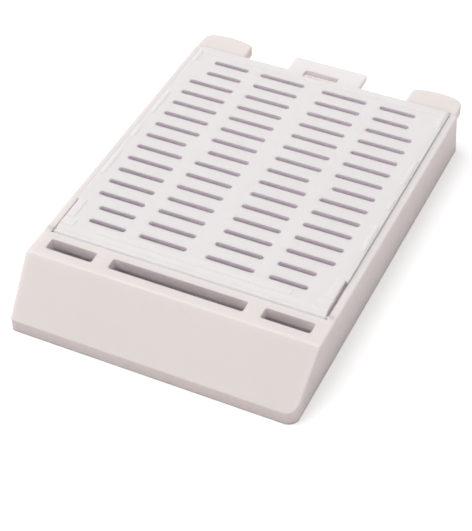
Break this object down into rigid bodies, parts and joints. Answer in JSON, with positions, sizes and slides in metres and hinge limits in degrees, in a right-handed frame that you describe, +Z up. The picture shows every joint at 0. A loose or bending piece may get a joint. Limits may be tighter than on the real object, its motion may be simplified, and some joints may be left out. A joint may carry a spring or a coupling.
{
  "type": "tissue cassette",
  "caption": "Flat plastic biopsy cassette with a sloping writing face, slotted ledge, slotted floor and a hinged slotted lid with a rear snap tab.",
  "frame": {"origin": "centre of the overall outline, on the underside that the cassette stands on", "axes": "+Y from the writing face towards the rear tab, +X to the right seen from the front, +Z up"},
  "size_m": [0.0284, 0.0416, 0.0056],
  "materials": {
    "base_plastic": "matte white acetal, fine-grained writing face",
    "lid_plastic": "satin white acetal"
  },
  "bodies": {
    "base": {"cassette_base": "base_plastic"},
    "lid": {"cassette_lid": "lid_plastic"}
  },
  "joints": [
    {"name": "lid_hinge", "type": "hinge", "parent": "base", "child": "lid", "pos_m": [0, -0.01242, 0.00505], "axis": [1, 0, 0], "range_deg": [0, 90]}
  ]
}
